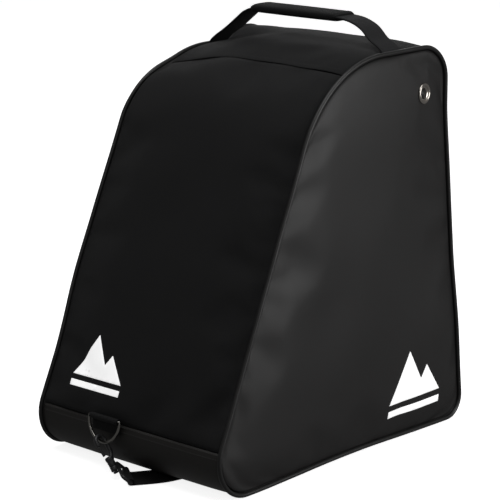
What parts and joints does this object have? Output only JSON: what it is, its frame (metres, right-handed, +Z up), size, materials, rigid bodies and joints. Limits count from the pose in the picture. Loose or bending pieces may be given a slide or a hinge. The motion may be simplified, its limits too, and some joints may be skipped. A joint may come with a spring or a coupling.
{
  "type": "ski boot bag",
  "caption": "Wedge-shaped fabric bag for ski boots with piped sides, vents, a rear zipped door, a top web handle and a clip-on shoulder strap.",
  "frame": {"origin": "on the surface the bag stands on, under the middle of the bag's bounding box", "axes": "+X across the bag towards its right side, +Y towards the rear door, +Z up"},
  "size_m": [0.2646, 0.418, 0.4408],
  "materials": {
    "polyester": "coated woven polyester, fine plain weave, matt",
    "tarpaulin": "coated tarpaulin, fine grain, satin",
    "band_tarpaulin": "coated tarpaulin, satin",
    "piping": "covered piping cord, satin",
    "webbing": "woven webbing, ribbed, matt",
    "lining": "woven lining and binding tape",
    "board": "stiffening board",
    "nickel": "nickel-plated steel",
    "screen": "moulded vent screen",
    "plastic": "moulded acetal",
    "zip_tape": "knitted zip tape",
    "zip_metal": "black-nickel plated"
  },
  "bodies": {
    "root": {"front_panel": "polyester", "top_panel": "polyester", "side_panel_right": "tarpaulin", "side_panel_left": "tarpaulin", "rear_frame": "tarpaulin", "lower_front_band": "band_tarpaulin", "rear_lower_band": "band_tarpaulin", "base_panel": "band_tarpaulin", "base_board": "board", "piping_right": "piping", "piping_left": "piping", "seam_binding_right": "lining", "seam_binding_left": "lining", "eyelet_right": "nickel", "eyelet_left": "nickel", "eyelet_washer_right": "nickel", "eyelet_washer_left": "nickel", "vent_screen_right": "screen", "vent_screen_left": "screen", "front_tab": "webbing", "rear_tab": "webbing", "shoulder_strap_front": "webbing", "shoulder_strap_fold": "webbing", "shoulder_strap_rear": "webbing", "zip_tape_fixed": "zip_tape"},
    "handle": {"handle_grip": "polyester", "handle_webbing": "webbing"},
    "rear_door": {"rear_door": "polyester", "zip_tape_door": "zip_tape"},
    "zip_slider_right": {"zip_slider_right": "zip_metal"},
    "zip_slider_left": {"zip_slider_left": "zip_metal"},
    "zip_puller_right": {"zip_puller_right": "zip_metal"},
    "zip_puller_left": {"zip_puller_left": "zip_metal"},
    "front_ring": {"front_d_ring": "nickel"},
    "front_strap_clip": {"front_swivel_loop": "plastic", "front_strap_end": "webbing"},
    "front_hook": {"front_snap_hook": "plastic"},
    "front_gate": {"front_hook_gate": "plastic"},
    "rear_ring": {"rear_d_ring": "nickel"},
    "rear_strap_clip": {"rear_swivel_loop": "plastic", "rear_strap_end": "webbing"},
    "rear_hook": {"rear_snap_hook": "plastic"},
    "rear_gate": {"rear_hook_gate": "plastic"}
  },
  "joints": [
    {"name": "handle_flop", "type": "hinge", "parent": "root", "child": "handle", "pos_m": [0, 0.0768, 0.403], "axis": [1, 0, 0], "range_deg": [-38, 38], "deforming": ["handle_webbing"]},
    {"name": "door_open", "type": "hinge", "parent": "root", "child": "rear_door", "pos_m": [0, 0.18963, 0.07004], "axis": [-1, 0, 0], "range_deg": [0, 100]},
    {"name": "zip_slide_right", "type": "slide", "parent": "rear_door", "child": "zip_slider_right", "axis": [1, 0, 0], "range_m": [0, 0.044]},
    {"name": "pull_tab_right", "type": "hinge", "parent": "zip_slider_right", "child": "zip_puller_right", "pos_m": [0.0083, 0.17154, 0.334], "axis": [0, -0.0819, 0.9966], "range_deg": [0, 110]},
    {"name": "zip_slide_left", "type": "slide", "parent": "rear_door", "child": "zip_slider_left", "axis": [-1, 0, 0], "range_m": [0, 0.044]},
    {"name": "pull_tab_left", "type": "hinge", "parent": "zip_slider_left", "child": "zip_puller_left", "pos_m": [-0.0083, 0.17154, 0.334], "axis": [0, 0.0819, -0.9966], "range_deg": [0, 110]},
    {"name": "front_clip_swing", "type": "hinge", "parent": "root", "child": "front_strap_clip", "pos_m": [-0.025, -0.18999, 0.058], "axis": [-1, 0, 0], "range_deg": [0, 60]},
    {"name": "front_ring_swing", "type": "hinge", "parent": "root", "child": "front_ring", "pos_m": [-0.025, -0.18999, 0.058], "axis": [-1, 0, 0], "range_deg": [0, 60]},
    {"name": "front_hook_swivel", "type": "hinge", "parent": "front_strap_clip", "child": "front_hook", "pos_m": [-0.025, -0.19557, 0.03486], "axis": [0.6157, 0, -0.788], "range_deg": [-8, 8]},
    {"name": "front_gate_open", "type": "hinge", "parent": "front_hook", "child": "front_gate", "pos_m": [-0.01589, -0.19987, 0.02319], "axis": [-0.788, 0, -0.6157], "range_deg": [0, 25], "stiffness_Nm_per_rad": 0.01, "springref_deg": -17.19},
    {"name": "rear_clip_swing", "type": "hinge", "parent": "root", "child": "rear_strap_clip", "pos_m": [0.086, 0.19602, 0.058], "axis": [1, 0, 0], "range_deg": [0, 60]},
    {"name": "rear_ring_swing", "type": "hinge", "parent": "root", "child": "rear_ring", "pos_m": [0.086, 0.19602, 0.058], "axis": [1, 0, 0], "range_deg": [0, 60]},
    {"name": "rear_hook_swivel", "type": "hinge", "parent": "rear_strap_clip", "child": "rear_hook", "pos_m": [0.086, 0.2016, 0.03486], "axis": [-0.6157, 0, -0.788], "range_deg": [-8, 8]},
    {"name": "rear_gate_open", "type": "hinge", "parent": "rear_hook", "child": "rear_gate", "pos_m": [0.07689, 0.2059, 0.02319], "axis": [0.788, 0, -0.6157], "range_deg": [0, 25], "stiffness_Nm_per_rad": 0.01, "springref_deg": -17.19}
  ],
  "couplings": [
    {"joint": "front_ring_swing", "follows": "front_clip_swing", "ratio": 1},
    {"joint": "rear_ring_swing", "follows": "rear_clip_swing", "ratio": 1}
  ]
}
